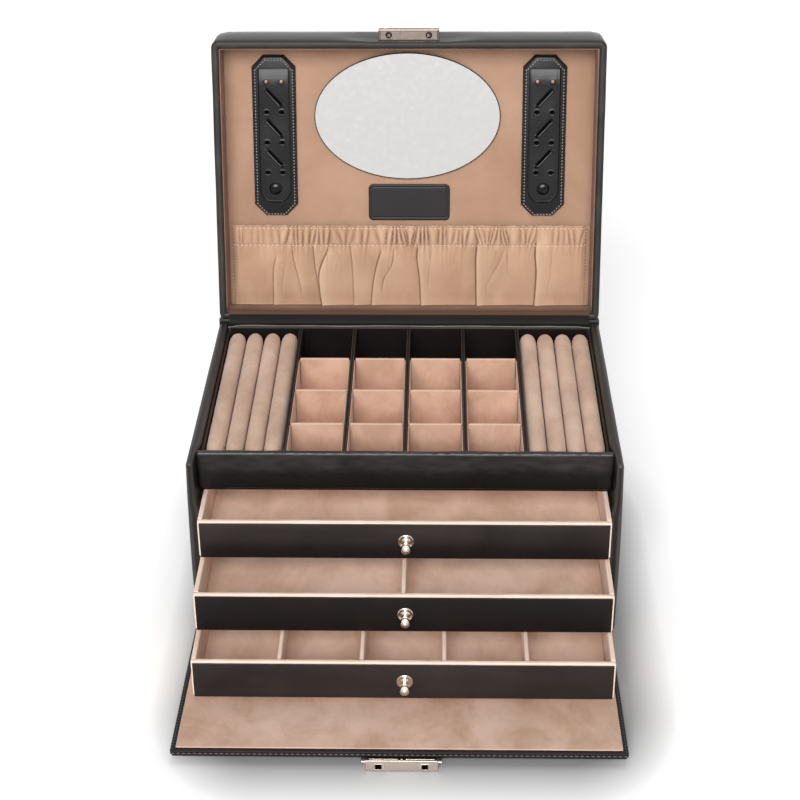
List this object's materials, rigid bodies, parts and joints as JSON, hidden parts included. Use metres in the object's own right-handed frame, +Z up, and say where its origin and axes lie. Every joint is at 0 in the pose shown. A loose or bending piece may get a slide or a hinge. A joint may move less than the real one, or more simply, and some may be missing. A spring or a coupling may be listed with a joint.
{
  "type": "leather jewelry box",
  "caption": "Leather-covered jewellery box with a mirrored lid, ring tray, sliding drawers behind a fold-down front flap and a hook lock.",
  "frame": {"origin": "middle of the case's underside, on the surface that the box stands on", "axes": "+Z up; -Y is the front, where the flap opens and the drawers come out; +X to the viewer's right"},
  "size_m": [0.285, 0.4478, 0.3451],
  "materials": {
    "black_leather": "fine grained, semi-matte",
    "velour": "short pile velour",
    "strap_leather": "smooth, stitched",
    "plate_leather": "smooth, bare",
    "nickel": "brushed nickel plating",
    "mirror_glass": "silvered, bevelled edge"
  },
  "bodies": {
    "case": {"back_panel": "black_leather", "base_board": "black_leather", "cross_cards": "velour", "drawer_deck": "velour", "drawer_shelves": "velour", "flap_hinge_leather": "black_leather", "front_rail": "black_leather", "left_side_panel": "black_leather", "lid_hinge_leather": "black_leather", "lid_hinge_strip": "black_leather", "right_side_panel": "black_leather", "ring_beds": "velour", "ring_rolls": "velour", "tray_back_collar": "black_leather", "tray_dividers": "black_leather", "tray_floor": "velour", "tray_side_collars": "black_leather"},
    "lid": {"keeper_screws": "nickel", "lid_back_wall": "black_leather", "lid_front_wall": "black_leather", "lid_left_wall": "black_leather", "lid_lining": "velour", "lid_plate": "plate_leather", "lid_pocket": "velour", "lid_right_wall": "black_leather", "lid_top": "black_leather", "lock_keeper": "nickel", "mirror": "mirror_glass", "snap_studs": "nickel", "strap_patches": "strap_leather"},
    "left_strap": {"left_snap_cap": "strap_leather", "left_strap": "strap_leather"},
    "right_strap": {"right_snap_cap": "strap_leather", "right_strap": "strap_leather"},
    "flap": {"flap_board": "black_leather", "flap_lining": "velour", "lock_case": "nickel"},
    "lock_bolt": {"lock_bolt": "nickel"},
    "top_drawer": {"top_drawer_back": "velour", "top_drawer_facing": "black_leather", "top_drawer_floor": "velour", "top_drawer_front": "velour", "top_drawer_knob": "nickel", "top_drawer_sides": "velour"},
    "middle_drawer": {"middle_drawer_back": "velour", "middle_drawer_dividers": "velour", "middle_drawer_facing": "black_leather", "middle_drawer_floor": "velour", "middle_drawer_front": "velour", "middle_drawer_knob": "nickel", "middle_drawer_sides": "velour"},
    "bottom_drawer": {"bottom_drawer_back": "velour", "bottom_drawer_dividers": "velour", "bottom_drawer_facing": "black_leather", "bottom_drawer_floor": "velour", "bottom_drawer_front": "velour", "bottom_drawer_knob": "nickel", "bottom_drawer_sides": "velour"}
  },
  "joints": [
    {"name": "lid_hinge", "type": "hinge", "parent": "case", "child": "lid", "pos_m": [0, 0.101, 0.1374], "axis": [1, 0, 0], "range_deg": [0, 103], "deforming": ["lid_hinge_strip", "lid_hinge_leather"]},
    {"name": "flap_hinge", "type": "hinge", "parent": "case", "child": "flap", "pos_m": [0, -0.10345, 0.00245], "axis": [-1, 0, 0], "range_deg": [0, 2.5], "deforming": ["flap_hinge_leather"]},
    {"name": "top_drawer_slide", "type": "slide", "parent": "case", "child": "top_drawer", "axis": [0, 1, 0], "range_m": [-0.106, 0.034]},
    {"name": "middle_drawer_slide", "type": "slide", "parent": "case", "child": "middle_drawer", "axis": [0, 1, 0], "range_m": [-0.0676, 0.0724]},
    {"name": "bottom_drawer_slide", "type": "slide", "parent": "case", "child": "bottom_drawer", "axis": [0, 1, 0], "range_m": [-0.0376, 0.1024]},
    {"name": "left_strap_hinge", "type": "hinge", "parent": "lid", "child": "left_strap", "pos_m": [-0.1, 0.16363, 0.31178], "axis": [1, 0, 0], "range_deg": [-75, 0]},
    {"name": "right_strap_hinge", "type": "hinge", "parent": "lid", "child": "right_strap", "pos_m": [0.1, 0.16363, 0.31178], "axis": [1, 0, 0], "range_deg": [-75, 0]},
    {"name": "lock_bolt_slide", "type": "slide", "parent": "flap", "child": "lock_bolt", "axis": [1, 0, 0], "range_m": [0, 0.003], "stiffness_N_per_m": 150}
  ]
}
